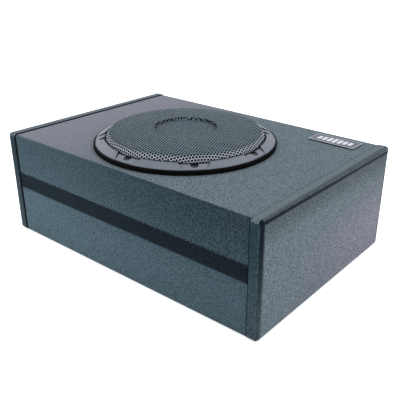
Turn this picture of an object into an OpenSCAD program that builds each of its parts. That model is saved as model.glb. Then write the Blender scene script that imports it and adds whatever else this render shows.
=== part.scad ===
// Powered car subwoofer: a flat slot-ported cabinet with a driver facing up under a
// perforated grille, and an amplifier let into the rear wall.
// Millimetres. Origin at the centre of the base, +X along the front, -Y front, +Z up.

/* [Cabinet] */
// Width over the two end panels
box_w = 480; // [470:1:520]
// Depth from front to rear of the end panels
box_d = 330; // [328:1:360]
// Height of the end panels
box_h = 164; // [160:1:176]
// Thickness of a wrapped end panel
panel_t = 16; // [14:1:18]
// How far the end panels stand proud of the cloth
proud = 1.5; // [1:0.5:3]
// Thickness of the boards between the end panels
board_t = 15; // [12:1:15]
// Thickness of the cloth
cloth_t = 1; // [0.6:0.2:1]
// Width of the shadow groove beside each end panel
groove_w = 2; // [1:0.5:4]
// Thickness of the vinyl on the end panels
vinyl_t = 0.8; // [0.6:0.1:1.2]

/* [Slot port] */
// Height of the slot's lower edge above the floor
slot_low = 77; // [74:0.5:80]
// Height of the slot opening
slot_h = 25; // [20:0.5:26]
// Thickness of the two port shelves
shelf_t = 12; // [9:1:12]
// Distance from the front of the boards to the inner end of the port
port_len = 58; // [40:1:60]

/* [Driver] */
// Driver centre, left or right of the middle
driver_x = -4.5; // [-10:0.5:10]
// Driver centre, front or rear of the middle
driver_y = -15.5; // [-17:0.5:-10]
// Outer radius of the trim ring
ring_r = 136; // [135:0.5:137]
// Height of the trim ring's outer wall above the cloth
ring_wall_h = 6; // [5:0.5:7]
// Height of the trim ring's inner edge above the cloth
ring_crown_h = 13.2; // [12.5:0.1:14]
// Number of driver screws
screw_count = 8; // [8]
// Radius of the driver screw circle
screw_circle_r = 122.5; // [122:0.5:123]
// Turn of the first driver screw from +X, in degrees
screw_turn = 2; // [-5:1:5]
// How far the cone travels each way
cone_travel = 9; // [5:1:9]

/* [Grille] */
// Radius where the grille's wall turns into its dome
dome_r = 110; // [108:0.5:112]
// Height of that turn above the cloth
dome_edge_h = 20.7; // [20:0.1:22]
// Height of the top of the dome above the cloth
dome_top_h = 24.2; // [23.5:0.1:25]
// Radius of the round recess in the middle of the grille
recess_r = 46; // [40:1:50]
// Depth of the recess
recess_depth = 6; // [4:0.5:6.5]

/* [Nameplate] */
// Nameplate width
plate_w = 76; // [60:1:80]
// Nameplate depth
plate_d = 32; // [24:1:34]
// Nameplate thickness
plate_t = 2; // [1.5:0.1:2.5]

/* [Amplifier] */
// Width of the amplifier panel
amp_w = 312; // [312:1:316]
// Height of the amplifier panel
amp_h = 116; // [116:1:118]
// Depth of the pockets in the panel
pocket_depth = 18; // [17:0.5:18]
// Half of a knob's turn, in degrees
knob_half_turn = 140; // [120:5:150]
// Travel of a slide switch
switch_travel = 4; // [3:0.5:4]

/* [Mounting] */
// Spacing of the threaded inserts along the front
insert_gap_x = 300; // [280:10:320]
// Spacing of the threaded inserts from front to rear
insert_gap_y = 200; // [180:10:220]
// Radius of the thread in an insert, M6
insert_thread_r = 2.5; // [2.5]

/* [Hidden] */
$fn = 96;
eps = 1;

// Cabinet planes
inner_x = box_w / 2 - panel_t;
cloth_x = inner_x - groove_w;
cloth_y = box_d / 2 - proud;
board_y = cloth_y - cloth_t;
cloth_top = box_h - proud;
cloth_low = 0.5;
board_top = cloth_top - cloth_t;
board_low = cloth_low + cloth_t;
room_top = board_top - board_t;
room_low = board_low + board_t;
room_y = board_y - board_t;
slot_top = slot_low + slot_h;
port_y = port_len - board_y;
brace_t = 3;
brace_set_back = 10;
brace_x = [-100, 66];
profile_r = 5;
edge_r = 6;
cloth_r = 2;

// Driver heights and radii
cutout_r = 117;
cloth_cutout_r = ring_r - 5.5;
gasket_t = 1.5;
flange_low = board_top + gasket_t;
flange_t = 1.6;
flange_top = flange_low + flange_t;
flange_in_r = 113;
flange_out_r = 129;
surround_t = 1;
neck_r = 58.4;
landing_z = flange_top - 45;
neck_low = landing_z - 23.6;
gap_h = 8;
gap_low = neck_low - gap_h;
magnet_t = 24;
yoke_t = 8;
magnet_low = gap_low - magnet_t;
pole_r = 24;
former_r = 25;
former_t = 0.3;
winding_r = 26.9;
gap_r = 27.6;
winding_h = gap_h + 2 * cone_travel;
winding_low = gap_low + (gap_h - winding_h) / 2;
former_low = winding_low - 2;
cone_low = flange_top - 36.6;
cone_lip_r = 97.5;
cone_rise = flange_top - surround_t - cone_low;
cap_r = 42;
ring_bore_r = 118.1;
grille_t = 1;
screw_r = 2.1;
screw_seat = cloth_top + 6;
screw_head_r = 4;
screw_head_h = 2.6;

// Amplifier planes and places
plate_front = box_d / 2;
sheet_t = 1.5;
floor_front = plate_front - pocket_depth;
floor_back = floor_front - sheet_t;
amp_mid_z = 82;
amp_low = amp_mid_z - amp_h / 2;
amp_top = amp_mid_z + amp_h / 2;
pocket_low = 38;
pocket_top = 126;
fin_pocket_x = [-142, -62];
control_pocket_x = [-50, 142];
cutout_x = 146;
board_front = floor_back - 17.9;
circuit_t = 1.6;
knob_z = 104;
socket_z = 60;
gain_x = 122;
crossover_x = 92;
bass_boost_x = 62;
phase_x = 32;
auto_on_x = 2;
led_x = -28;
knob_r = 8;
knob_back = floor_front + 1.5;
knob_front = plate_front - 3;
shaft_r = 3;
bush_r = 3.5;
bush_front = floor_front + 1.1;
rca_x = [124, 102];
rca_r = 4.15;
socket_x = 73;
fuse_x = 36;
fuse_z = [55, 67];
terminal_x = [-30, -12, 6];
terminal_wire_z = 57;
slider_w = 5;
slider_h = 4;
switch_room = slider_w + switch_travel + 0.8;
nameplate_x = 167;
nameplate_y = 131;

// ---- helpers ----

module block(x0, x1, y0, y1, z0, z1)
    translate([x0, y0, z0]) cube([x1 - x0, y1 - y0, z1 - z0]);

module rounded_rect(w, h, r) {
    square([w - 2 * r, h], center = true);
    square([w, h - 2 * r], center = true);
    for (sx = [-1, 1], sy = [-1, 1])
        translate([sx * (w / 2 - r), sy * (h / 2 - r)]) circle(r);
}

// Upright cylinder at the driver's centre
module at_driver() translate([driver_x, driver_y, 0]) children();

module disc(r, z0, z1) translate([0, 0, z0]) cylinder(r = r, h = z1 - z0);

module ring(r_out, r_in, z0, z1)
    difference() {
        disc(r_out, z0, z1);
        disc(r_in, z0 - eps, z1 + eps);
    }

module revolve(points) rotate_extrude() polygon(points);

// Cylinder along Y, from y0 to y1
module rod_y(x, z, r, y0, y1, sides = $fn)
    translate([x, y1, z]) rotate([90, 0, 0]) cylinder(r = r, h = y1 - y0, $fn = sides);

// Copies at each driver screw
module at_screws()
    for (i = [0 : screw_count - 1])
        rotate(screw_turn + i * 360 / screw_count) translate([screw_circle_r, 0, 0]) children();

// Pie slice from the centre, half_angle each side of +X
module slice(half_angle, r, z0, z1)
    translate([0, 0, z0]) linear_extrude(z1 - z0)
        polygon([[0, 0], [r, -r * tan(half_angle)], [r, r * tan(half_angle)]]);

function unit(v) = v / norm(v);

// Smooth stretch between points b and c, a quarter of the way at a time
function smooth(a, b, c, d, t) =
    b + 0.5 * t * (c - a + t * (2 * a - 5 * b + 4 * c - d + t * (3 * (b - c) + d - a)));

function route(points, steps = 4) = [
    for (i = [0 : len(points) - 2], j = [0 : steps - 1])
        smooth(points[max(i - 1, 0)], points[i], points[i + 1],
               points[min(i + 2, len(points) - 1)], j / steps),
    points[len(points) - 1],
];

function heading(p, i) = unit(p[min(i + 1, len(p) - 1)] - p[max(i - 1, 0)]);

// Round tube along a route, as one closed skin with a cap at each end
module tube(points, r, sides = 8) {
    p = route(points);
    n = len(p);
    skin = [for (i = [0 : n - 1], k = [0 : sides - 1])
        let (d = heading(p, i), u = unit(cross(d, [0, 0.2, 1])), v = cross(d, u),
             a = 360 * k / sides)
        p[i] + r * (u * cos(a) + v * sin(a))];
    walls = [for (i = [0 : n - 2], k = [0 : sides - 1])
        let (k2 = (k + 1) % sides)
        [i * sides + k, i * sides + k2, (i + 1) * sides + k2, (i + 1) * sides + k]];
    first = [for (k = [sides - 1 : -1 : 0]) k];
    last = [for (k = [0 : sides - 1]) (n - 1) * sides + k];
    polyhedron(skin, concat(walls, [first, last]));
}

// ---- cabinet ----

// Rounded end panel on the +X side, shrunk on its outer faces by inset
module end_form(inset) {
    t = panel_t - inset;
    intersection() {
        translate([inner_x, -box_d, 0]) cube([t, 2 * box_d, 2 * box_h]);
        translate([0, 0, box_h / 2]) rotate([90, 0, 90])
            linear_extrude(box_w) rounded_rect(box_d - 2 * inset, box_h - 2 * inset, profile_r);
        translate([inner_x, box_d, box_h / 2]) rotate([90, 0, 0])
            linear_extrude(2 * box_d) rounded_rect(2 * t, box_h - 2 * inset, edge_r);
        translate([inner_x, 0, -eps])
            linear_extrude(box_h + 2 * eps) rounded_rect(2 * t, box_d - 2 * inset, edge_r);
    }
}

module end_vinyl()
    difference() {
        end_form(0);
        end_form(vinyl_t);
    }

module right_end_panel() color("tan") end_form(vinyl_t);
module left_end_panel() color("tan") mirror([1, 0, 0]) end_form(vinyl_t);
module right_end_vinyl() color("slategray") end_vinyl();
module left_end_vinyl() color("slategray") mirror([1, 0, 0]) end_vinyl();

module cross_board(y0, y1, z0, z1) block(-inner_x, inner_x, y0, y1, z0, z1);

module top_baffle() color("tan")
    difference() {
        cross_board(-board_y, board_y, room_top, board_top);
        at_driver() {
            disc(cutout_r, room_top - eps, board_top + eps);
            at_screws() disc(screw_r, room_top - eps, board_top + eps);
        }
    }

module at_inserts()
    for (sx = [-1, 1], sy = [-1, 1])
        translate([sx * insert_gap_x / 2, sy * insert_gap_y / 2, 0]) children();

insert_r = 4;
insert_len = 13;

module bottom_panel() color("tan")
    difference() {
        cross_board(-board_y, board_y, board_low, room_low);
        at_inserts() disc(insert_r, board_low - eps, board_low + insert_len);
    }

module threaded_inserts() color("goldenrod")
    at_inserts() ring(insert_r, insert_thread_r, board_low, board_low + insert_len);

module upper_front_board() color("tan") cross_board(-board_y, -room_y, slot_top, room_top);
module lower_front_board() color("tan") cross_board(-board_y, -room_y, room_low, slot_low);

module rear_panel() color("tan")
    difference() {
        cross_board(room_y, board_y, room_low, room_top);
        block(-cutout_x, cutout_x, room_y - eps, board_y + eps, pocket_low - 4, pocket_top + 4);
        for (p = amp_screw_places()) rod_y(p[0], p[1], amp_screw_r, room_y - eps, board_y + eps);
    }

module port_upper_shelf() color("tan") cross_board(-room_y, port_y, slot_top, slot_top + shelf_t);
module port_lower_shelf() color("tan") cross_board(-room_y, port_y, slot_low - shelf_t, slot_low);

module port_braces() color("dimgray")
    for (x = brace_x)
        block(x - brace_t / 2, x + brace_t / 2, brace_set_back - board_y, port_y, slot_low, slot_top);

module cloth_wrap() color("darkslategray")
    difference() {
        translate([-cloth_x, 0, (cloth_low + cloth_top) / 2]) rotate([90, 0, 90])
            linear_extrude(2 * cloth_x)
                difference() {
                    rounded_rect(2 * cloth_y, cloth_top - cloth_low, cloth_r);
                    square([2 * board_y, board_top - board_low], center = true);
                }
        at_driver() disc(cloth_cutout_r, board_top - eps, cloth_top + eps);
        block(-amp_w / 2 - 0.3, amp_w / 2 + 0.3, board_y - eps, cloth_y + eps,
              amp_low - 0.3, amp_top + 0.3);
        at_inserts() disc(insert_r + 1, 0, board_low + eps);
    }

// ---- driver ----

module driver_gasket() color("black") at_driver()
    difference() {
        ring(flange_out_r - 1, cutout_r, board_top, flange_low);
        at_screws() disc(screw_r + 0.5, 0, box_h);
    }

module driver_basket() color("dimgray") at_driver()
    difference() {
        revolve([
            [flange_out_r, flange_low], [flange_out_r, flange_top],
            [flange_in_r, flange_top], [flange_in_r - 2, flange_top - 14.6],
            [70, landing_z], [neck_r, landing_z], [neck_r, neck_low + 1.6],
            [gap_r + 1.4, neck_low + 1.6], [gap_r + 1.4, neck_low], [neck_r + 1.6, neck_low],
            [neck_r + 1.6, landing_z - 1.6], [70.5, landing_z - 1.6],
            [flange_in_r - 0.4, flange_top - 15.5], [flange_in_r + 1.6, flange_low],
        ]);
        at_screws() disc(screw_r + 0.5, flange_low - eps, flange_top + eps);
        for (i = [0 : 5]) rotate(i * 60) {
            difference() {
                slice(20, 120, landing_z + 2.4, flange_top - 18.6);
                disc(62, 0, box_h);
            }
            difference() {
                slice(20, 80, neck_low + 5, landing_z - 5);
                disc(40, 0, box_h);
            }
        }
    }

roll_r = 105;

module surround() color("black") at_driver()
    revolve(concat(
        [[93.5, flange_top], [93.5, flange_top + surround_t]],
        [for (a = [180 : -12 : 0])
            [roll_r + 7.6 * cos(a), flange_top + surround_t + 7.6 * sin(a)]],
        [[cutout_r + 0.5, flange_top + surround_t], [cutout_r + 0.5, flange_top]],
        [[roll_r + 6.6, flange_top]],
        [for (a = [0 : 12 : 180])
            [roll_r + 6.6 * cos(a), flange_top + surround_t + 6.6 * sin(a)]],
        [[roll_r - 6.6, flange_top]]
    ));

former_out_r = former_r + former_t;

// Height of the cone's upper face at radius r
function cone_z(r) = cone_low + cone_rise * pow((r - former_out_r) / (93.5 - former_out_r), 0.8);

module cone() color("black") at_driver() {
    steps = 8;
    radii = [for (i = [0 : steps]) former_out_r + (93.5 - former_out_r) * i / steps];
    revolve(concat(
        [for (r = radii) [r, cone_z(r) + 1]],
        [[cone_lip_r, flange_top], [cone_lip_r, flange_top - surround_t]],
        [for (i = [steps : -1 : 0]) [radii[i], cone_z(radii[i])]]
    ));
}

module dust_cap() color("black") at_driver() {
    edge_z = cone_z(cap_r) + 1.5;
    cap_h = 16;
    cap_sphere_r = (cap_r * cap_r + cap_h * cap_h) / (2 * cap_h);
    half = asin(cap_r / cap_sphere_r);
    mid_z = edge_z + cap_h - cap_sphere_r;
    revolve(concat(
        [for (i = [0 : 8]) let (a = half * i / 8)
            [cap_sphere_r * sin(a), mid_z + cap_sphere_r * cos(a)]],
        [for (i = [8 : -1 : 0]) let (a = half * i / 8)
            [(cap_sphere_r - 1) * sin(a), mid_z + (cap_sphere_r - 1) * cos(a)]]
    ));
}

module voice_coil_former() color("tan") at_driver()
    ring(former_out_r, former_r, former_low, cone_low + 3);

module voice_coil_winding() color("chocolate") at_driver()
    ring(winding_r, former_out_r, winding_low, winding_low + winding_h);

// Height of the spider's wavy sheet at radius r
function spider_z(r) = landing_z + (r > 30 && r < 58 ? 1.8 * sin(360 * (r - 30) / 7) : 0);

module spider() color("goldenrod") at_driver() {
    radii = concat([former_out_r + 0.4], [for (i = [0 : 16]) 30 + i * 1.75], [69]);
    last = len(radii) - 1;
    revolve(concat(
        [for (r = radii) [r, spider_z(r) + 0.8]],
        [for (i = [last : -1 : 0]) [radii[i], spider_z(radii[i])]]
    ));
}

module top_plate() color("silver") at_driver() ring(62, gap_r, gap_low, neck_low);
module magnet() color("dimgray") at_driver() ring(70, 33, magnet_low, gap_low);

module t_yoke() color("silver") at_driver()
    difference() {
        union() {
            disc(66, magnet_low - yoke_t, magnet_low);
            disc(pole_r, magnet_low - eps, neck_low);
        }
        disc(8, magnet_low - yoke_t - eps, neck_low + eps);
    }

lug_x = [-8, 8];

module driver_terminals() color("goldenrod") at_driver() {
    tab_y = neck_r + 1.7;
    block(-13, 13, tab_y, tab_y + 2, neck_low + 4, landing_z - 5);
    for (x = lug_x) block(x - 2.4, x + 2.4, tab_y + 2, tab_y + 9, neck_low + 12, neck_low + 12.8);
}

module tinsel_leads() color("chocolate") at_driver()
    for (side = [-1, 1])
        tube([
            [side * 8, 67, neck_low + 14], [side * 14, 72, neck_low + 17],
            [side * 27, 77, neck_low + 24], [side * 33, 77, neck_low + 32],
            [side * 29, 64, neck_low + 39], [side * 22, 50, neck_low + 39],
            [side * 17, 38, neck_low + 40],
        ], 0.8);

// ---- top trim ----

// Radii where the ring's hollow underside starts and ends
hollow_in_r = 126;
hollow_out_r = ring_r - 3;

module trim_ring() color("lightslategray") at_driver()
    difference() {
        revolve([
            [ring_r, cloth_top], [ring_r, cloth_top + ring_wall_h - 1],
            [ring_r - 0.3, cloth_top + ring_wall_h - 0.3],
            [ring_r - 1, cloth_top + ring_wall_h], [ring_bore_r + 0.8, cloth_top + ring_crown_h],
            [ring_bore_r, cloth_top + ring_crown_h - 0.6], [ring_bore_r, flange_top],
            [hollow_in_r, flange_top], [hollow_in_r, flange_top + 4.6],
            [hollow_out_r, cloth_top + 3.8], [hollow_out_r, cloth_top],
        ]);
        for (i = [0 : screw_count - 1]) rotate(screw_turn + i * 360 / screw_count)
            screw_pad_cut();
        at_screws() {
            disc(screw_head_r + 0.6, screw_seat, box_h * 2);
            translate([-10, 0, 0]) block(0, 10, -screw_head_r - 0.6, screw_head_r + 0.6,
                                         screw_seat, box_h * 2);
            disc(screw_r, 0, box_h * 2);
        }
    }

// Shallow pad round a screw, deepest at the bore and running out at the rim
module screw_pad_cut()
    intersection() {
        revolve([
            [ring_bore_r - 5, cloth_top + ring_crown_h - 1.2],
            [ring_r - 2, cloth_top + ring_wall_h + 0.35],
            [ring_r - 2, box_h * 2], [ring_bore_r - 5, box_h * 2],
        ]);
        linear_extrude(box_h * 2)
            polygon([[110, -25], [120, -21], [ring_r, -13], [ring_r, 13], [120, 21], [110, 25]]);
    }

module grille() color("darkslategray") at_driver() {
    edge = cloth_top + dome_edge_h;
    top = cloth_top + dome_top_h;
    crown = cloth_top + ring_crown_h;
    foot = flange_top + surround_t + 0.1;
    recess_floor = top - recess_depth;
    wall_r = ring_bore_r - 0.1;
    dome = [for (i = [0 : 8]) let (t = i / 8)
        [dome_r + (recess_r + 2 - dome_r) * t, edge + (top - edge) * (1 - (1 - t) * (1 - t))]];
    outer = concat(
        [[wall_r, foot], [wall_r, crown], [dome_r + 1, edge - 0.8]],
        dome,
        [[recess_r, top - 1], [recess_r - 1, recess_floor], [0, recess_floor]]
    );
    inner = concat(
        [[0, recess_floor - grille_t], [recess_r, recess_floor - grille_t],
         [recess_r + grille_t, top - 1 - grille_t]],
        [for (i = [8 : -1 : 0]) dome[i] - [0, grille_t]],
        [[dome_r + 0.4, edge - 0.8 - grille_t], [wall_r - grille_t, crown - 0.4],
         [wall_r - grille_t, foot]]
    );
    revolve(concat(outer, inner));
}

module mounting_screws() color("dimgray") at_driver() at_screws()
    difference() {
        union() {
            disc(screw_head_r, screw_seat, screw_seat + screw_head_h);
            disc(screw_r, screw_seat - 20, screw_seat + eps);
        }
        for (a = [0, 90]) rotate(a)
            block(-2.4, 2.4, -0.5, 0.5, screw_seat + 1, screw_seat + 2 * screw_head_h);
    }

module nameplate() color("silver")
    translate([nameplate_x, nameplate_y, cloth_top])
        difference() {
            linear_extrude(plate_t) rounded_rect(plate_w, plate_d, 2);
            translate([0, 0, plate_t - 0.4])
                linear_extrude(plate_t) rounded_rect(plate_w - 4, plate_d - 4, 1.2);
        }

// Generic row of level bars
module nameplate_bars() color("white")
    for (i = [-3 : 3])
        translate([nameplate_x + i * 8.5, nameplate_y, cloth_top + plate_t - 0.4])
            linear_extrude(0.4) square([6, 19 - 2 * abs(i)], center = true);

// ---- amplifier ----

amp_screw_r = 1.75;
amp_screw_head_r = 3.4;

function amp_screw_places() = concat(
    [for (x = [-151, -50, 50, 151], z = [amp_low + 5, amp_top - 5]) [x, z]],
    [for (x = [-151, 151]) [x, amp_mid_z]]
);

module countersink(p)
    translate([p[0], plate_front, p[1]]) rotate([90, 0, 0])
        cylinder(r1 = amp_screw_head_r, r2 = amp_screw_r, h = sheet_t);

// Open box sunk into the panel between two X planes
module pocket(xs)
    difference() {
        block(xs[0] - sheet_t, xs[1] + sheet_t, floor_back, plate_front - 0.5,
              pocket_low - sheet_t, pocket_top + sheet_t);
        block(xs[0], xs[1], floor_front, plate_front + eps, pocket_low, pocket_top);
    }

module pocket_mouth(xs)
    block(xs[0], xs[1], floor_front, plate_front + eps, pocket_low, pocket_top);

module through_floor(x, z, r) rod_y(x, z, r, floor_back - eps, floor_front + eps);

module slot_in_floor(x, z, w, h)
    block(x - w / 2, x + w / 2, floor_back - eps, floor_front + eps, z - h / 2, z + h / 2);

module amp_panel() color("dimgray")
    difference() {
        union() {
            difference() {
                block(-amp_w / 2, amp_w / 2, plate_front - sheet_t, plate_front, amp_low, amp_top);
                pocket_mouth(fin_pocket_x);
                pocket_mouth(control_pocket_x);
            }
            pocket(fin_pocket_x);
            pocket(control_pocket_x);
        }
        for (p = amp_screw_places()) countersink(p);
        for (x = [gain_x, crossover_x, bass_boost_x]) through_floor(x, knob_z, bush_r);
        for (x = rca_x) through_floor(x, socket_z, rca_r);
        for (x = [phase_x, auto_on_x]) slot_in_floor(x, knob_z, switch_room, slider_h + 0.8);
        through_floor(led_x, knob_z, 1.5);
        for (x = [gain_x, crossover_x, bass_boost_x], a = [-knob_half_turn, knob_half_turn])
            translate([x, 0, knob_z]) rotate([0, a, 0])
                rod_y(0, knob_r + 2.5, 0.8, floor_front - 0.4, floor_front + eps);
    }

module amp_gasket() color("black")
    difference() {
        block(-amp_w / 2, amp_w / 2, board_y, plate_front - sheet_t, amp_low, amp_top);
        block(-cutout_x, cutout_x, board_y - eps, box_d, pocket_low - 4, pocket_top + 4);
        for (p = amp_screw_places()) rod_y(p[0], p[1], amp_screw_r, board_y - eps, box_d);
    }

module amp_panel_screws() color("black")
    for (p = amp_screw_places())
        difference() {
            union() {
                countersink(p);
                rod_y(p[0], p[1], amp_screw_r, board_y - 12, plate_front - sheet_t + 0.5);
            }
            for (a = [0, 90])
                translate([p[0], 0, p[1]]) rotate([0, a, 0])
                    block(-1.8, 1.8, plate_front - 0.9, plate_front + eps, -0.4, 0.4);
        }

fin_count = 11;

module heat_sink() color("silver") {
    x0 = fin_pocket_x[0] + 2;
    x1 = fin_pocket_x[1] - 2;
    base_front = floor_front + 4;
    fin_t = 1.6;
    pitch = (x1 - x0 - fin_t) / (fin_count - 1);
    block(x0, x1, floor_front, base_front, pocket_low + 2, pocket_top - 2);
    for (i = [0 : fin_count - 1])
        block(x0 + i * pitch, x0 + i * pitch + fin_t, base_front - 0.5, plate_front - 1,
              pocket_low + 2, pocket_top - 2);
}

module circuit_board() color("darkgreen")
    block(-138, 138, board_front - circuit_t, board_front, 40, 124);

module power_transistors() color("black")
    for (x = [-129 : 18 : -75]) block(x - 7.5, x + 7.5, floor_back - 5, floor_back, 92, 112);

module capacitors() color("midnightblue")
    for (x = [-112, -80]) rod_y(x, 62, 12.5, board_front - circuit_t - 30, board_front - circuit_t);

toroid_x = 52;
toroid_z = 84;
toroid_y = board_front - circuit_t - 10;

module toroid_core() color("olive")
    difference() {
        rod_y(toroid_x, toroid_z, 22, toroid_y - 6, toroid_y + 6);
        rod_y(toroid_x, toroid_z, 13, toroid_y - 7, toroid_y + 7);
    }

// Copper turns laid side by side round the core
module toroid_winding() color("chocolate")
    translate([toroid_x, toroid_y, toroid_z])
        for (i = [0 : 15]) if (i != 7 && i != 15)
            rotate([0, i * 22.5, 0])
                difference() {
                    block(11, 24, -8, 8, -1, 1);
                    block(12.7, 22.1, -6.1, 6.1, -2, 2);
                }

module rca_shells() color("silver")
    for (x = rca_x)
        difference() {
            union() {
                rod_y(x, socket_z, rca_r, floor_back, floor_front + 11);
                rod_y(x, socket_z, 6, floor_front, floor_front + 1);
            }
            rod_y(x, socket_z, rca_r - 0.65, floor_back - eps, floor_front + 12);
        }

module rca_insulators() color("red")
    for (x = rca_x) {
        difference() {
            rod_y(x, socket_z, rca_r - 0.65, floor_back - 1, floor_front + 10.5);
            rod_y(x, socket_z, 1.6, floor_front + 1, floor_front + 11);
        }
        block(x - 7, x + 7, board_front, floor_back - 0.9, socket_z - 7, socket_z + 7);
    }

socket_w = 26;
socket_h = 13;
socket_front = floor_front + 12;

module high_level_socket() color("whitesmoke") {
    difference() {
        block(socket_x - socket_w / 2, socket_x + socket_w / 2, floor_front, socket_front,
              socket_z - socket_h / 2, socket_z + socket_h / 2);
        block(socket_x - socket_w / 2 + 1.5, socket_x + socket_w / 2 - 1.5,
              floor_front + 1.5, socket_front + eps,
              socket_z - socket_h / 2 + 1.5, socket_z + socket_h / 2 - 1.5);
    }
    for (i = [-2 : 2]) for (s = [-1, 1])
        block(socket_x + i * 4.2 - 0.5, socket_x + i * 4.2 + 0.5, floor_front + 1.4, floor_front + 5,
              socket_z + s * 2.4 - 0.5, socket_z + s * 2.4 + 0.5);
}

terminal_front = floor_front + 13;
terminal_low = 50;
terminal_top = 72;
terminal_screw_y = floor_front + 7;
terminal_wire_r = 2.6;
set_screw_r = 3;

module terminal_block() color("black")
    difference() {
        block(terminal_x[0] - 9, terminal_x[2] + 9, floor_front, terminal_front,
              terminal_low, terminal_top);
        for (x = terminal_x) {
            rod_y(x, terminal_wire_z, terminal_wire_r, floor_front - eps, terminal_front + eps);
            translate([x, terminal_screw_y, 0]) disc(set_screw_r, 61, terminal_top + eps);
        }
    }

module terminal_screws() color("silver")
    for (x = terminal_x) translate([x, terminal_screw_y, 0])
        difference() {
            disc(set_screw_r, 62, terminal_top - 0.5);
            block(-4, 4, -0.5, 0.5, terminal_top - 2, terminal_top);
        }

module fuse_holder() color("black")
    for (z = fuse_z)
        difference() {
            block(fuse_x - 11, fuse_x + 11, floor_front, floor_front + 8, z - 4, z + 4);
            for (s = [-1, 1])
                block(fuse_x + s * 7 - 2.7, fuse_x + s * 7 + 2.7, floor_front + 1,
                      floor_front + 9, z - 0.5, z + 0.5);
        }

module blade_fuses() color("orange")
    for (z = fuse_z) {
        block(fuse_x - 9.5, fuse_x + 9.5, floor_front + 8, floor_front + 15, z - 2.5, z + 2.5);
        for (s = [-1, 1])
            block(fuse_x + s * 7 - 2.5, fuse_x + s * 7 + 2.5, floor_front + 1.5,
                  floor_front + 8.5, z - 0.35, z + 0.35);
    }

module power_led() color("red") {
    rod_y(led_x, knob_z, 1.5, floor_back - 2, floor_front + 1.5);
    translate([led_x, floor_front + 1.5, knob_z]) sphere(1.5);
}

module potentiometers() color("silver")
    for (x = [gain_x, crossover_x, bass_boost_x])
        difference() {
            union() {
                rod_y(x, knob_z, 8.5, board_front + 0.5, floor_back - 1);
                rod_y(x, knob_z, bush_r, floor_back - 2, bush_front);
            }
            rod_y(x, knob_z, shaft_r + 0.05, board_front + 3, bush_front + eps);
        }

flute_count = 18;

// Fluted knob with a pointer line cut across its face
module knob_at(x) translate([x, 0, knob_z])
    difference() {
        rod_y(0, 0, knob_r, knob_back, knob_front);
        rod_y(0, 0, shaft_r, knob_back - eps, knob_front - 3);
        for (i = [0 : flute_count - 1]) rotate([0, i * 360 / flute_count, 0])
            rod_y(knob_r + 0.3, 0, 0.8, knob_back + 2, knob_front + eps, 24);
        block(-0.6, 0.6, knob_front - 0.6, knob_front + eps, 2, knob_r + 1);
    }

module shaft_at(x) rod_y(x, knob_z, shaft_r, board_front + 3.3, knob_front - 3);

module gain_knob() color("black") knob_at(gain_x);
module crossover_knob() color("black") knob_at(crossover_x);
module bass_boost_knob() color("black") knob_at(bass_boost_x);
module gain_shaft() color("silver") shaft_at(gain_x);
module crossover_shaft() color("silver") shaft_at(crossover_x);
module bass_boost_shaft() color("silver") shaft_at(bass_boost_x);

module switch_bodies() color("silver")
    for (x = [phase_x, auto_on_x]) {
        difference() {
            block(x - 11, x + 11, board_front, floor_back, knob_z - 5, knob_z + 5);
            block(x - switch_room / 2, x + switch_room / 2, floor_back - 6, floor_back + eps,
                  knob_z - slider_h / 2 - 0.4, knob_z + slider_h / 2 + 0.4);
        }
        difference() {
            block(x - 9, x + 9, floor_front, floor_front + 1, knob_z - 6, knob_z + 6);
            block(x - switch_room / 2, x + switch_room / 2, floor_front - eps, floor_front + 2,
                  knob_z - slider_h / 2 - 0.4, knob_z + slider_h / 2 + 0.4);
        }
    }

// Slider at the -X end of its window
module slider_at(x) {
    x0 = x - switch_room / 2 + 0.4;
    difference() {
        block(x0, x0 + slider_w, floor_back - 5.5, floor_front + 4.5,
              knob_z - slider_h / 2, knob_z + slider_h / 2);
        for (i = [1 : 3])
            block(x0 + i * slider_w / 4 - 0.3, x0 + i * slider_w / 4 + 0.3, floor_front + 4,
                  floor_front + 5, knob_z - slider_h, knob_z + slider_h);
    }
}

module phase_slider() color("black") slider_at(phase_x);
module auto_on_slider() color("black") slider_at(auto_on_x);

module speaker_leads() color("firebrick")
    for (side = [-1, 1])
        tube([
            [driver_x + side * 8, driver_y + 67, neck_low + 10.5],
            [driver_x + side * 9, driver_y + 76, neck_low + 4],
            [driver_x + side * 8, driver_y + 92, neck_low - 14],
            [driver_x + side * 6, driver_y + 112, neck_low - 30],
            [driver_x + side * 5, driver_y + 130, neck_low - 37],
            [driver_x + side * 5, board_front - circuit_t - 0.2, neck_low - 38],
        ], 1.2);

left_end_panel();
right_end_panel();
left_end_vinyl();
right_end_vinyl();
top_baffle();
bottom_panel();
upper_front_board();
lower_front_board();
rear_panel();
port_upper_shelf();
port_lower_shelf();
port_braces();
cloth_wrap();
threaded_inserts();
driver_gasket();
driver_basket();
surround();
cone();
dust_cap();
voice_coil_former();
voice_coil_winding();
spider();
top_plate();
magnet();
t_yoke();
driver_terminals();
tinsel_leads();
trim_ring();
grille();
mounting_screws();
nameplate();
nameplate_bars();
amp_panel();
amp_gasket();
amp_panel_screws();
heat_sink();
circuit_board();
power_transistors();
capacitors();
toroid_core();
toroid_winding();
rca_shells();
rca_insulators();
high_level_socket();
terminal_block();
terminal_screws();
fuse_holder();
blade_fuses();
power_led();
potentiometers();
gain_knob();
gain_shaft();
crossover_knob();
crossover_shaft();
bass_boost_knob();
bass_boost_shaft();
switch_bodies();
phase_slider();
auto_on_slider();
speaker_leads();
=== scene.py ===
import math

import bpy
import numpy as np
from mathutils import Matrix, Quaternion, Vector


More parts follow.
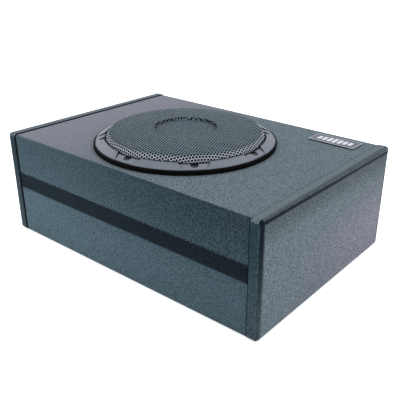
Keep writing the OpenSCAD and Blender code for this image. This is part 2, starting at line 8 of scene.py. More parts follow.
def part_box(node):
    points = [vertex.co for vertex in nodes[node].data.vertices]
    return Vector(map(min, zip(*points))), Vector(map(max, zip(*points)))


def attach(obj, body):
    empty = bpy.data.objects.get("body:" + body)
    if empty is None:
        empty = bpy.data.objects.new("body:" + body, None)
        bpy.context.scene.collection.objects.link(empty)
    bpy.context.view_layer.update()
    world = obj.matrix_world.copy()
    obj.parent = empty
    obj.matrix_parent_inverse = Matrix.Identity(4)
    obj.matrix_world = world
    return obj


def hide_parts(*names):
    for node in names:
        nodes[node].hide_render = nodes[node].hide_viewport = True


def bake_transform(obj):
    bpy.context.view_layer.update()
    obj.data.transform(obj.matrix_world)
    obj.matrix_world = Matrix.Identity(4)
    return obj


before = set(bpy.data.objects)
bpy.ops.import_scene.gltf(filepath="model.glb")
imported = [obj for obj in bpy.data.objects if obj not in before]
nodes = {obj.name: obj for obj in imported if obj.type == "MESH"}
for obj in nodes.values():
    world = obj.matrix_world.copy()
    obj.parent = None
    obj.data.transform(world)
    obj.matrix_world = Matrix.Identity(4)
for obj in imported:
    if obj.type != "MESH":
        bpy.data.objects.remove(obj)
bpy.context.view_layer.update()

MM = 0.001


# ---------------------------------------------------------------- places read from the frame

cloth_low, cloth_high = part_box("cloth_wrap")
ring_low, ring_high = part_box("trim_ring")
grille_low, grille_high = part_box("grille")
amp_low, amp_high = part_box("amp_panel")
plate_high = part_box("nameplate")[1]
floor_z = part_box("left_end_vinyl")[0].z
end_x, end_y, end_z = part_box("right_end_vinyl")[1]

driver_x = (ring_low.x + ring_high.x) / 2
driver_y = (ring_low.y + ring_high.y) / 2
ring_r = (ring_high.x - ring_low.x) / 2
cloth_top = cloth_high.z
crown_z = ring_high.z
grille_r = (grille_high.x - grille_low.x) / 2
grille_top = grille_high.z

dome_r = 110 * MM
dome_edge_z = cloth_top + 20.7 * MM
recess_r = 46 * MM
screw_circle_r = 122.5 * MM
recess_z = grille_top - 4.0 * MM
wall_foot_r = grille_r - 0.6 * MM

slot_low_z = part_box("port_lower_shelf")[1].z
slot_high_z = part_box("port_upper_shelf")[0].z

insert_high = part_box("threaded_inserts")[1]
insert_r = 4 * MM
insert_x, insert_y = insert_high.x - insert_r, insert_high.y - insert_r
insert_cut = 5 * MM
insert_cuts = [side * insert_y + half for side in (-1, 1) for half in (-insert_cut, insert_cut)]


# ---------------------------------------------------------------- mesh helpers


def piece(name, points, faces, material, smooth=True):
    """A mesh object from an (n, 3) array of points and a list of (m, corners) index arrays."""
    mesh = bpy.data.meshes.new(name)
    polygons = [row for part in faces for row in np.asarray(part).tolist()]
    mesh.from_pydata(np.asarray(points, float).reshape(-1, 3).tolist(), [], polygons)
    mesh.polygons.foreach_set("use_smooth", np.full(len(mesh.polygons), smooth))
    mesh.materials.append(material)
    mesh.update()
    obj = bpy.data.objects.new(name, mesh)
    bpy.context.scene.collection.objects.link(obj)
    return obj


def grid_faces(rows, columns, close_rows=False, close_columns=False, start=0):
    """Quads joining each grid point to the next both ways, wrapping round where closed."""
    i = np.arange(rows if close_rows else rows - 1)[:, None]
    j = np.arange(columns if close_columns else columns - 1)[None, :]
    i2, j2 = (i + 1) % rows, (j + 1) % columns
    corners = [i * columns + j, i2 * columns + j, i2 * columns + j2, i * columns + j2]
    shape = (i + j).shape
    return start + np.stack([np.broadcast_to(c, shape) for c in corners], -1).reshape(-1, 4)


def turned(profile, angles, centre=(0.0, 0.0)):
    """Points of a profile of (radius, height) rows carried round a vertical axis at each angle."""
    r, z = np.asarray(profile, float).T
    a = np.asarray(angles, float)[:, None]
    x = centre[0] + r * np.cos(a)
    y = centre[1] + r * np.sin(a)
    return np.stack([x, y, np.broadcast_to(z, x.shape)], -1)


def solid_shell(obj, thickness):
    """Gives a skin its thickness, on the side away from its faces."""
    shell = obj.modifiers.new("thickness", "SOLIDIFY")
    shell.thickness = thickness
    shell.offset = -1.0
    shell.use_even_offset = False


def give_uv(obj, uv):
    """Writes one (u, v) pair a vertex, in metres along the cloth, as the weave's UV map."""
    layer = obj.data.uv_layers.new(name="weave")
    corner = np.zeros(len(obj.data.loops), int)
    obj.data.loops.foreach_get("vertex_index", corner)
    layer.data.foreach_set("uv", np.asarray(uv, np.float32)[corner].ravel())


# ---------------------------------------------------------------- material helpers


def link(tree, source, target):
    tree.links.new(source, target)


def new_material(name, colour, roughness=0.5, metallic=0.0, specular=0.5, coat=0.0):
    """A Principled material, its even values set on the shader's own sockets."""
    material = bpy.data.materials.new(name)
    material.use_nodes = True
    shader = material.node_tree.nodes["Principled BSDF"]
    shader.inputs["Base Color"].default_value = (*colour, 1.0)
    shader.inputs["Roughness"].default_value = roughness
    shader.inputs["Metallic"].default_value = metallic
    shader.inputs["Specular IOR Level"].default_value = specular
    shader.inputs["Coat Weight"].default_value = coat
    shader.inputs["Coat Roughness"].default_value = 0.25
    return material


def add(tree, kind, inputs=(), **settings):
    """One shader node with its settings, its inputs given as values or other nodes' outputs."""
    node = tree.nodes.new(kind)
    for key, value in settings.items():
        setattr(node, key, value)
    for key, value in dict(inputs).items():
        if isinstance(value, bpy.types.NodeSocket):
            link(tree, value, node.inputs[key])
        else:
            node.inputs[key].default_value = value
    return node


def calc(tree, operation, first, second=0.0, third=0.0, clamp=False):
    """One Math node's output."""
    node = add(tree, "ShaderNodeMath", {0: first, 1: second, 2: third}, operation=operation)
    node.use_clamp = clamp
    return node.outputs[0]


def smooth_step(tree, value, low, high):
    """0 below low, 1 above high, smooth between."""
    node = add(
        tree,
        "ShaderNodeMapRange",
        {"Value": value, "From Min": low, "From Max": high},
        interpolation_type="SMOOTHSTEP",
    )
    return node.outputs["Result"]


def within(tree, value, low, high, edge):
    """1 between low and high, fading to 0 over edge on each side."""
    rise = smooth_step(tree, value, low - edge / 2, low + edge / 2)
    fall = smooth_step(tree, value, high - edge / 2, high + edge / 2)
    return calc(tree, "SUBTRACT", rise, fall)


def mix_colour(tree, share, first, second, blend="MIX"):
    """A mix of two colours, each a tuple or another node's output."""
    node = tree.nodes.new("ShaderNodeMix")
    node.data_type = "RGBA"
    node.blend_type = blend
    slots = {"Factor": 0, "A": 6, "B": 7}
    for key, value in (("Factor", share), ("A", first), ("B", second)):
        socket = node.inputs[slots[key]]
        if isinstance(value, bpy.types.NodeSocket):
            link(tree, value, socket)
        elif key == "Factor":
            socket.default_value = value
        else:
            socket.default_value = (*value, 1.0)
    return node.outputs[2]


def noise(tree, vector, scale, detail=3.0, roughness=0.55):
    """A noise texture's value at a point."""
    node = add(
        tree,
        "ShaderNodeTexNoise",
        {"Vector": vector, "Scale": scale, "Detail": detail, "Roughness": roughness},
    )
    return node.outputs["Fac"]


def object_point(tree):
    """The shaded point in object coordinates, in metres."""
    return tree.nodes.new("ShaderNodeTexCoord").outputs["Object"]


def parts_of(tree, vector):
    """A vector's x, y and z."""
    node = add(tree, "ShaderNodeSeparateXYZ", {0: vector})
    return node.outputs[0], node.outputs[1], node.outputs[2]


def bump(tree, height, distance, strength=1.0):
    """Joins a height to the shader's normal as bump, distance in metres."""
    node = add(
        tree, "ShaderNodeBump", {"Height": height, "Distance": distance, "Strength": strength}
    )
    shader = tree.nodes["Principled BSDF"]
    link(tree, node.outputs[0], shader.inputs["Normal"])


def paint(tree, colour, roughness=None):
    """Joins a colour, and a roughness if given, to the shader."""
    shader = tree.nodes["Principled BSDF"]
    link(tree, colour, shader.inputs["Base Color"])
    if roughness is not None:
        link(tree, roughness, shader.inputs["Roughness"])


def from_driver(tree, x, y):
    """A point's distance from the driver's axis, and its two level parts."""
    reach_x = calc(tree, "SUBTRACT", x, driver_x)
    reach_y = calc(tree, "SUBTRACT", y, driver_y)
    square = calc(tree, "ADD", calc(tree, "POWER", reach_x, 2.0), calc(tree, "POWER", reach_y, 2.0))
    return calc(tree, "SQRT", square), reach_x, reach_y


def towards_right_rear(tree, reach_x, reach_y):
    """How far a point lies past the driver's axis on the line that two finishes change along."""
    return calc(tree, "MULTIPLY_ADD", reach_x, 0.785, calc(tree, "MULTIPLY", reach_y, 0.619))


# ---------------------------------------------------------------- finishes


def cloth_finish():
    """Plain weave in the cloth's own UV, mottled, with painted shade near black where the slot lies
    behind it and over the front face, and a painted sheen on the top towards the left.
    """
    material = new_material("woven_cloth", (0.1, 0.13, 0.15), 0.8, specular=0.04)
    tree = material.node_tree
    uv = add(tree, "ShaderNodeUVMap", uv_map="weave").outputs[0]
    u, v, _ = parts_of(tree, uv)
    place = object_point(tree)
    x, y, z = parts_of(tree, place)
    drift = noise(tree, place, 26.0, 2.0)
    u = calc(tree, "MULTIPLY_ADD", drift, 1.6 * MM, u)
    v = calc(tree, "MULTIPLY_ADD", drift, 1.2 * MM, v)
    thread = 2 * math.pi / (3.1 * MM)
    warp = calc(tree, "SINE", calc(tree, "MULTIPLY", u, thread))
    weft = calc(tree, "SINE", calc(tree, "MULTIPLY", v, thread))
    crossing = calc(tree, "MULTIPLY_ADD", calc(tree, "MULTIPLY", warp, weft), 0.5, 0.5)
    rows = calc(tree, "ABSOLUTE", calc(tree, "SINE", calc(tree, "MULTIPLY", v, thread)))
    height = calc(tree, "MULTIPLY_ADD", rows, 0.4, calc(tree, "MULTIPLY", crossing, 0.9))
    fleck = noise(tree, place, 760.0, 1.0, 0.6)
    cloud = noise(tree, place, 9.0, 2.0)
    lifted = calc(tree, "MULTIPLY_ADD", fleck, 2.2, calc(tree, "SUBTRACT", height, 1.3), clamp=True)
    weave = mix_colour(tree, lifted, (0.008, 0.02, 0.028), (0.215, 0.262, 0.295))
    # Painted sheen: the flat top paler and purple towards the left, where light glances off it.
    leftward = smooth_step(tree, x, 50 * MM, -220 * MM)
    flat_top = smooth_step(tree, z, cloth_high.z - 2 * MM, cloth_high.z - 0.8 * MM)
    painted_sheen = calc(tree, "MULTIPLY", calc(tree, "MULTIPLY", leftward, flat_top), 0.75)
    toned = mix_colour(tree, painted_sheen, weave, (0.215, 0.205, 0.25))
    cloudy = mix_colour(tree, calc(tree, "MULTIPLY", cloud, 0.35), toned, (0.115, 0.145, 0.17))
    # Painted shade: near black where the unlit slot lies behind the front cloth, its edges broken
    # by the weave.
    front = smooth_step(tree, y, cloth_low.y + 4.5 * MM, cloth_low.y + 1.5 * MM)
    jagged = calc(tree, "MULTIPLY_ADD", fleck, 7 * MM, calc(tree, "SUBTRACT", z, 3.5 * MM))
    band = within(tree, jagged, slot_low_z, slot_high_z, 3 * MM)
    fibre = calc(tree, "MULTIPLY_ADD", lifted, -0.2, 0.995)
    seen = calc(tree, "MULTIPLY", calc(tree, "MULTIPLY", front, band), fibre)
    behind = mix_colour(tree, seen, cloudy, (0.0035, 0.0085, 0.0125))
    pits = smooth_step(tree, noise(tree, place, 500.0, 2.0, 0.6), 0.56, 0.42)
    rightward = smooth_step(tree, x, -200 * MM, 200 * MM)
    pitted = calc(tree, "MULTIPLY", pits, calc(tree, "MULTIPLY_ADD", rightward, 0.4, 0.12))
    high = smooth_step(tree, z, 50 * MM, 120 * MM)
    pitted = calc(tree, "MULTIPLY", pitted, calc(tree, "MULTIPLY_ADD", high, 0.6, 0.4))
    pitted = calc(tree, "MULTIPLY", pitted, front)
    behind = mix_colour(tree, pitted, behind, (0.1, 0.1, 0.1), "MULTIPLY")
    # Painted shade: the front face tinted cooler and darkened, more towards the top and the right.
    upward = smooth_step(tree, z, slot_low_z - 45 * MM, cloth_high.z)
    shade = calc(tree, "MULTIPLY_ADD", upward, 0.36, 0.01)
    shade = calc(tree, "MULTIPLY_ADD", rightward, 0.28, shade)
    shade = calc(tree, "MULTIPLY", front, shade)
    cool = mix_colour(tree, front, behind, (0.72, 0.88, 0.94), "MULTIPLY")
    paint(tree, mix_colour(tree, shade, cool, (0.04, 0.09, 0.12), "MULTIPLY"))
    bump(tree, lifted, 0.3 * MM, 0.9)
    return material


def vinyl_finish():
    """Leather grain: rounded cells about a millimetre across and coarser pale pebbles, with painted
    shade: a dark line along the panel's rounded outer edges, and its narrow front face darker."""
    material = new_material("grained_vinyl", (0.1, 0.12, 0.13), 0.55, specular=0.05)
    tree = material.node_tree
    place = object_point(tree)
    x, y, z = parts_of(tree, place)
    cells = add(
        tree,
        "ShaderNodeTexVoronoi",
        {"Vector": place, "Scale": 560.0, "Randomness": 1.0},
        feature="SMOOTH_F1",
    ).outputs["Distance"]
    pebble = smooth_step(tree, noise(tree, place, 580.0, 2.0, 0.6), 0.42, 0.6)
    cloud = noise(tree, place, 9.0, 2.0)
    height = calc(tree, "MULTIPLY_ADD", pebble, 0.5, calc(tree, "SUBTRACT", 1.0, cells))
    rough = mix_colour(tree, pebble, (0.06, 0.082, 0.097), (0.235, 0.262, 0.292))
    # Painted light: the flat top of the panel an even paler grey, its pebbles mostly hidden.
    flat_top = smooth_step(tree, z, end_z - 2.5 * MM, end_z - 0.5 * MM)
    grain = mix_colour(tree, calc(tree, "MULTIPLY", flat_top, 0.75), rough, (0.145, 0.165, 0.19))
    # Painted reflection: lighter and warmer low towards the rear of the panel; elsewhere darker and
    # cooler as painted shade.
    far = smooth_step(tree, y, 5 * MM - end_y, end_y - 5 * MM)
    low = smooth_step(tree, z, 130 * MM, 60 * MM)
    wear_and_painted_light = calc(tree, "MULTIPLY", far, low)
    tone = mix_colour(tree, wear_and_painted_light, (0.67, 0.75, 0.76), (1.08, 0.93, 1.03))
    toned = mix_colour(tree, 1.0, grain, tone, "MULTIPLY")
    base = mix_colour(tree, calc(tree, "MULTIPLY", cloud, 0.25), toned, (0.14, 0.155, 0.175))

    # Painted shade: a dark line round the rounded top edge and both end edges of the outer face,
    # with a fainter band below the top one.
    from_centre = calc(tree, "ABSOLUTE", x)
    side = smooth_step(tree, from_centre, end_x - 6.5 * MM, end_x - 3.5 * MM)
    fallen = calc(tree, "MULTIPLY_ADD", calc(tree, "ADD", y, end_y), 0.012, z)
    over = smooth_step(tree, fallen, end_z + 1.2 * MM, end_z - 3.4 * MM)
    under = smooth_step(tree, fallen, end_z - 9 * MM, end_z - 4.4 * MM)
    below = smooth_step(tree, fallen, end_z - 44 * MM, end_z - 7 * MM)
    below = calc(tree, "MULTIPLY", below, 0.42)
    top_line = calc(tree, "MAXIMUM", calc(tree, "MULTIPLY", over, under), below)
    from_middle = calc(tree, "ABSOLUTE", y)
    round_end = smooth_step(tree, from_middle, end_y + 0.3 * MM, end_y - 1 * MM)
    past_end = smooth_step(tree, from_middle, end_y - 9.5 * MM, end_y - 4 * MM)
    height_fade = calc(tree, "MULTIPLY_ADD", smooth_step(tree, z, floor_z, 150 * MM), 0.35, 0.65)
    end_line = calc(tree, "MULTIPLY", calc(tree, "MULTIPLY", round_end, past_end), height_fade)
    drawn = calc(tree, "MULTIPLY", calc(tree, "MAXIMUM", top_line, end_line), side)
    edge = mix_colour(tree, drawn, base, (0.002, 0.007, 0.012))

    # Painted shade: the panel's narrow front face dark teal, darker higher up.
    upright = smooth_step(tree, from_centre, end_x - 1.5 * MM, end_x - 5.5 * MM)
    under_top = smooth_step(tree, z, end_z - 2.5 * MM, end_z - 5.5 * MM)
    front = smooth_step(tree, y, 6.5 * MM - end_y, 3.5 * MM - end_y)
    face = calc(tree, "MULTIPLY", calc(tree, "MULTIPLY", upright, under_top), front)
    depth = calc(tree, "MULTIPLY_ADD", smooth_step(tree, z, 20 * MM, 150 * MM), 0.2, 0.68)
    shaded = mix_colour(tree, calc(tree, "MULTIPLY", face, depth), edge, (0.004, 0.02, 0.03))
    paint(tree, shaded, calc(tree, "MULTIPLY_ADD", cells, 0.25, 0.5))
    bump(tree, height, 0.25 * MM, 0.7)
    return material


def grained_plastic(name, colour, roughness, coat=0.0):
    """Moulded plastic with a fine spark-eroded texture and a little uneven gloss."""
    material = new_material(name, colour, roughness, coat=coat)
    tree = material.node_tree
    place = object_point(tree)
    fine = noise(tree, place, 2600.0, 2.0)
    broad = noise(tree, place, 40.0, 3.0)
    lighter = tuple(min(1.0, c * 1.25 + 0.004) for c in colour)
    paint(
        tree,
        mix_colour(tree, broad, colour, lighter),
        calc(tree, "MULTIPLY_ADD", broad, 0.16, roughness - 0.08),
    )
    bump(tree, fine, 0.05 * MM, 0.6)
    return material


def painted_steel(name, colour, roughness, orange_peel=0.04):
    """Powder coat: fine orange peel over steel."""
    material = new_material(name, colour, roughness, specular=0.5)
    tree = material.node_tree
    place = object_point(tree)
    peel = noise(tree, place, 1400.0, 2.0)
    broad = noise(tree, place, 25.0, 2.0)
    wear_and_painted_light = tuple(min(1.0, c * 1.35 + 0.006) for c in colour)
    paint(
        tree,
        mix_colour(tree, smooth_step(tree, broad, 0.35, 0.75), colour, wear_and_painted_light),
        calc(tree, "MULTIPLY_ADD", peel, 0.2, roughness - 0.1),
    )
    bump(tree, peel, orange_peel * MM, 0.6)
    return material


def brushed_metal(name, colour, roughness, along="X", metallic=1.0):
    """Metal with fine scratches along one axis."""
    material = new_material(name, colour, roughness, metallic=metallic)
    tree = material.node_tree
    fine, long = 3500.0, 30.0
    stretch = {"X": (long, fine, fine), "Y": (fine, long, fine), "Z": (fine, fine, long)}
    mapped = add(
        tree, "ShaderNodeMapping", {"Vector": object_point(tree), "Scale": stretch[along]}
    ).outputs[0]
    streak = noise(tree, mapped, 1.0, 2.0)
    dark = tuple(c * 0.72 for c in colour)
    paint(
        tree,
        mix_colour(tree, streak, dark, colour),
        calc(tree, "MULTIPLY_ADD", streak, 0.25, roughness - 0.1),
    )
    bump(tree, streak, 0.02 * MM, 0.4)
    return material


def fibre_board():
    """Pressed fibre board, pale brown with short darker fibres, sprayed black near its outer
    edges where a groove or the port would show it."""
    material = new_material("fibre_board", (0.4, 0.27, 0.16), 0.9, specular=0.2)
    tree = material.node_tree
    place = object_point(tree)
    _, y, z = parts_of(tree, place)
    fibres = noise(tree, place, 700.0, 4.0, 0.7)
    broad = noise(tree, place, 14.0, 2.0)
    base = mix_colour(tree, fibres, (0.23, 0.15, 0.085), (0.5, 0.36, 0.23))
    brown = mix_colour(tree, calc(tree, "MULTIPLY", broad, 0.4), base, (0.36, 0.25, 0.15))
    from_middle = calc(tree, "ABSOLUTE", calc(tree, "SUBTRACT", z, end_z / 2))
    near_top = smooth_step(tree, from_middle, end_z / 2 - 16 * MM, end_z / 2 - 12 * MM)
    from_middle = calc(tree, "ABSOLUTE", y)
    near_side = smooth_step(tree, from_middle, end_y - 16 * MM, end_y - 12 * MM)
    sprayed = calc(tree, "MAXIMUM", near_top, near_side)
    paint(tree, mix_colour(tree, sprayed, brown, (0.006, 0.007, 0.009)))
    bump(tree, fibres, 0.12 * MM, 0.5)
    return material


def blacked_board():
    """The same board sprayed matt black all over, for the port and the braces in it."""
    material = new_material("blacked_board", (0.014, 0.016, 0.019), 0.9, specular=0.2)
    tree = material.node_tree
    fibres = noise(tree, object_point(tree), 700.0, 4.0, 0.7)
    paint(tree, mix_colour(tree, fibres, (0.008, 0.009, 0.011), (0.024, 0.027, 0.031)))
    bump(tree, fibres, 0.12 * MM, 0.6)
    return material


def pressed_pulp():
    """Cone paper: matt black pulp with short fibres."""
    material = new_material("pressed_pulp", (0.018, 0.018, 0.02), 0.85, specular=0.1)
    tree = material.node_tree
    fibres = noise(tree, object_point(tree), 420.0, 5.0, 0.75)
    paint(tree, mix_colour(tree, fibres, (0.008, 0.008, 0.009), (0.035, 0.035, 0.038)))
    bump(tree, fibres, 0.15 * MM, 0.6)
    return material


def soft_rubber(name, colour=(0.012, 0.012, 0.013), roughness=0.6):
    """Matt rubber, foam or wire sleeve with a faint grey bloom."""
    material = new_material(name, colour, roughness, specular=0.12)
    tree = material.node_tree
    bloom = noise(tree, object_point(tree), 120.0, 4.0)
    grey = tuple(c * 1.8 + 0.006 for c in colour)
    paint(tree, mix_colour(tree, smooth_step(tree, bloom, 0.4, 0.8), colour, grey))
    bump(tree, bloom, 0.05 * MM, 0.4)
    return material


def wound_wire():
    """Copper turns lying side by side up the coil."""
    material = new_material("enamelled_wire", (0.45, 0.17, 0.06), 0.35, metallic=0.9)
    tree = material.node_tree
    _, _, z = parts_of(tree, object_point(tree))
    turns = calc(tree, "SINE", calc(tree, "MULTIPLY", z, 2 * math.pi / (0.5 * MM)))
    ridge = calc(tree, "MULTIPLY_ADD", turns, 0.5, 0.5)
    paint(tree, mix_colour(tree, ridge, (0.2, 0.06, 0.02), (0.55, 0.22, 0.08)))
    bump(tree, ridge, 0.12 * MM, 0.7)
    return material


def varnished_cotton():
    """Spider cloth: amber varnish over a coarse plain weave."""
    material = new_material("varnished_cotton", (0.5, 0.32, 0.1), 0.6, specular=0.4)
    tree = material.node_tree
    x, y, _ = parts_of(tree, object_point(tree))
    pitch = 2 * math.pi / (0.9 * MM)
    crossed = calc(
        tree,
        "MULTIPLY",
        calc(tree, "SINE", calc(tree, "MULTIPLY", x, pitch)),
        calc(tree, "SINE", calc(tree, "MULTIPLY", y, pitch)),
    )
    height = calc(tree, "MULTIPLY_ADD", crossed, 0.5, 0.5)
    paint(tree, mix_colour(tree, height, (0.28, 0.16, 0.05), (0.58, 0.39, 0.14)))
    bump(tree, height, 0.15 * MM, 0.7)
    return material


def dull_ferrite(name="ferrite", colour=(0.05, 0.05, 0.055)):
    """Pressed ferrite, a little paler in patches."""
    material = new_material(name, colour, 0.55, specular=0.4)
    tree = material.node_tree
    place = object_point(tree)
    grain = noise(tree, place, 1800.0, 3.0)
    pits = noise(tree, place, 90.0, 4.0)
    pale = tuple(c * 1.5 + 0.01 for c in colour)
    paint(tree, mix_colour(tree, smooth_step(tree, pits, 0.4, 0.75), colour, pale))
    bump(tree, grain, 0.06 * MM, 0.5)
    return material


def circuit_finish():
    """Green solder mask with a grid of copper tracks showing through."""
    material = new_material("solder_mask", (0.01, 0.09, 0.035), 0.3, specular=0.5)
    tree = material.node_tree
    x, _, z = parts_of(tree, object_point(tree))
    pitch = 2 * math.pi / (5.08 * MM)
    across = calc(tree, "GREATER_THAN", calc(tree, "SINE", calc(tree, "MULTIPLY", x, pitch)), 0.9)
    along = calc(tree, "GREATER_THAN", calc(tree, "SINE", calc(tree, "MULTIPLY", z, pitch)), 0.9)
    track = calc(tree, "MAXIMUM", across, along)
    paint(tree, mix_colour(tree, track, (0.008, 0.075, 0.03), (0.02, 0.15, 0.06)))
    bump(tree, track, 0.04 * MM, 0.5)
    return material


def ring_finish():
    """Satin plastic: a painted sheen makes its sloping top paler than its outer wall, its bore and
    the sunken edge beside the grille, which are left near black as painted shade."""
    material = new_material("satin_trim", (0.12, 0.12, 0.13), 0.38, specular=0.1)
    tree = material.node_tree
    place = object_point(tree)
    x, y, z = parts_of(tree, place)
    fine = noise(tree, place, 2200.0, 2.0)
    broad = noise(tree, place, 30.0, 2.0)
    reach, reach_x, reach_y = from_driver(tree, x, y)
    # Painted shade: the outer wall below the sloping top and the bore inside it stay near black.
    top = smooth_step(tree, z, cloth_top + 6.3 * MM, cloth_top + 7.2 * MM)
    bore = smooth_step(tree, reach, 119 * MM, 121.5 * MM)
    angle = calc(tree, "ARCTAN2", reach_y, reach_x)
    phase = calc(tree, "MULTIPLY_ADD", angle, 4.0, -4.0 * math.radians(2))
    aside = calc(tree, "MULTIPLY", calc(tree, "ABSOLUTE", calc(tree, "SINE", phase)), 30.6 * MM)
    from_screw = calc(tree, "SUBTRACT", reach, screw_circle_r)
    apart = calc(tree, "POWER", aside, 2.0)
    apart = calc(tree, "SQRT", calc(tree, "ADD", apart, calc(tree, "POWER", from_screw, 2.0)))
    # Painted shade: the screw pockets and the creases along the pads' edges near black.
    pocket = smooth_step(tree, apart, 6.0 * MM, 4.8 * MM)
    pad_edge = calc(tree, "MULTIPLY_ADD", from_screw, -0.52, 18.5 * MM)
    crease = calc(tree, "ABSOLUTE", calc(tree, "SUBTRACT", aside, pad_edge))
    crease = smooth_step(tree, crease, 1.3 * MM, 0.4 * MM)
    crease = calc(tree, "MULTIPLY", crease, smooth_step(tree, reach, 132 * MM, 126 * MM))
    creased = calc(tree, "MULTIPLY", crease, 0.75)
    sunk = calc(tree, "MAXIMUM", calc(tree, "MULTIPLY", pocket, 0.95), creased)
    raised = calc(tree, "SUBTRACT", 1.0, sunk)
    lit = calc(tree, "MULTIPLY", calc(tree, "MULTIPLY", top, bore), raised)
    across = towards_right_rear(tree, reach_x, reach_y)
    # Painted sheen: the top paler still towards the left.
    left = calc(tree, "MULTIPLY", smooth_step(tree, across, -50 * MM, -130 * MM), 0.5)
    even = mix_colour(tree, broad, (0.12, 0.138, 0.168), (0.16, 0.178, 0.21))
    light = mix_colour(tree, left, even, (0.24, 0.245, 0.28))
    rough = calc(tree, "MULTIPLY_ADD", lit, -0.55, calc(tree, "MULTIPLY_ADD", broad, 0.12, 0.86))
    paint(tree, mix_colour(tree, lit, (0.001, 0.001, 0.0015), light), rough)
    bump(tree, fine, 0.03 * MM, 0.5)
    return material


def plate_finish():
    """Badge metal: a pale raised rim round a grey sunken floor, over sides painted near black as
    painted shade.
    """
    material = new_material("nameplate_coat", (0.1, 0.1, 0.12), 0.4, specular=0.2)
    tree = material.node_tree
    place = object_point(tree)
    _, _, z = parts_of(tree, place)
    peel = noise(tree, place, 1400.0, 2.0)
    rim = smooth_step(tree, z, plate_high.z - 0.3 * MM, plate_high.z - 0.1 * MM)
    # Painted shade: the plate's sides below its top near black.
    skirt = smooth_step(tree, z, plate_high.z - 0.5 * MM, plate_high.z - 0.7 * MM)
    floor = mix_colour(tree, peel, (0.075, 0.08, 0.1), (0.12, 0.125, 0.15))
    rimmed = mix_colour(tree, rim, floor, (0.3, 0.31, 0.36))
    paint(tree, mix_colour(tree, skirt, rimmed, (0.002, 0.002, 0.003)),
          calc(tree, "MULTIPLY_ADD", peel, 0.2, 0.35))
    bump(tree, peel, 0.04 * MM, 0.6)
    return material


def grille_finish():
    """Fine textured coat on perforated steel, its turned-down wall paler as painted light and the
    step round its recess darker towards the ends as painted shade.
    """
    material = new_material("coated_perforated_steel", (0.13, 0.165, 0.175), 0.42, specular=0.2)
    tree = material.node_tree
    place = object_point(tree)
    x, y, z = parts_of(tree, place)
    peel = noise(tree, place, 2000.0, 2.0)
    broad = noise(tree, place, 18.0, 2.0)
    coat = mix_colour(tree, broad, (0.08, 0.128, 0.16), (0.135, 0.19, 0.232))
    # Painted light: the wall turning down from the dome's edge paler.
    wall = smooth_step(tree, z, dome_edge_z, dome_edge_z - 4 * MM)
    reach, reach_x, reach_y = from_driver(tree, x, y)
    # Painted shade: the step round the recess darker, most towards its two ends.
    step = within(tree, reach, recess_r - 2.4 * MM, recess_r + 0.6 * MM, 1 * MM)
    across = towards_right_rear(tree, reach_x, reach_y)
    ends = smooth_step(tree, calc(tree, "ABSOLUTE", across), 8 * MM, 30 * MM)
    step = calc(tree, "MULTIPLY", step, calc(tree, "MULTIPLY_ADD", ends, 0.75, -0.1))
    wear_and_painted_light = mix_colour(tree, calc(tree, "MULTIPLY", wall, 0.75), coat, (0.45, 0.48, 0.55))
    paint(
        tree,
        mix_colour(tree, step, wear_and_painted_light, (0.02, 0.03, 0.036)),
        calc(tree, "MULTIPLY_ADD", peel, 0.2, 0.3),
    )
    bump(tree, peel, 0.03 * MM, 0.5)
    return material


CLOTH = cloth_finish()
VINYL = vinyl_finish()
BOARD = fibre_board()
BLACK_BOARD = blacked_board()
TRIM = ring_finish()
GRILLE = grille_finish()
RUBBER = soft_rubber("surround_rubber")
FOAM = soft_rubber("closed_cell_foam", (0.014, 0.014, 0.015), 0.9)
# Near black for the grille's hole walls, its underside and its hem: painted shade.
SHADE_BLACK = new_material("painted_shade_black", (0.004, 0.006, 0.008), 0.9, specular=0.02)
PULP = pressed_pulp()
SPIDER = varnished_cotton()
COPPER = wound_wire()
STEEL = brushed_metal("zinc_plated_steel", (0.55, 0.56, 0.58), 0.4)
NICKEL = brushed_metal("nickel", (0.72, 0.72, 0.7), 0.25, "Y")
BRASS = brushed_metal("machined_brass", (0.7, 0.48, 0.2), 0.35, "Z")
TINNED = brushed_metal("tinned_brass", (0.66, 0.6, 0.45), 0.4)
PLATE = plate_finish()
BRIGHT = brushed_metal("bright_metal", (0.68, 0.68, 0.75), 0.3)
SINK = brushed_metal("black_anodised_aluminium", (0.07, 0.072, 0.076), 0.42, "Z", 0.7)
PANEL = painted_steel("panel_coat", (0.022, 0.023, 0.025), 0.5)
BASKET = painted_steel("basket_coat", (0.02, 0.02, 0.022), 0.45)
SCREW = painted_steel("black_zinc", (0.004, 0.004, 0.005), 0.45, 0.02)
KNOB = grained_plastic("knob_plastic", (0.018, 0.018, 0.019), 0.42)
BLOCK = grained_plastic("block_plastic", (0.02, 0.02, 0.02), 0.5)
NYLON = grained_plastic("natural_nylon", (0.62, 0.61, 0.56), 0.5)
FILM = grained_plastic("amber_film", (0.35, 0.17, 0.04), 0.3)
EPOXY = grained_plastic("moulded_epoxy", (0.015, 0.015, 0.015), 0.55)
SLEEVE = grained_plastic("capacitor_sleeve", (0.015, 0.025, 0.12), 0.3)
INSULATOR = grained_plastic("jack_insulator", (0.28, 0.015, 0.012), 0.35)
FUSE = grained_plastic("fuse_body", (0.75, 0.24, 0.02), 0.25, coat=0.3)
LENS = grained_plastic("lamp_lens", (0.55, 0.02, 0.015), 0.15, coat=0.5)
WIRE = soft_rubber("wire_insulation", (0.32, 0.02, 0.015), 0.45)
FERRITE = dull_ferrite()
CORE = dull_ferrite("coated_core", (0.2, 0.2, 0.08))
CIRCUIT = circuit_finish()

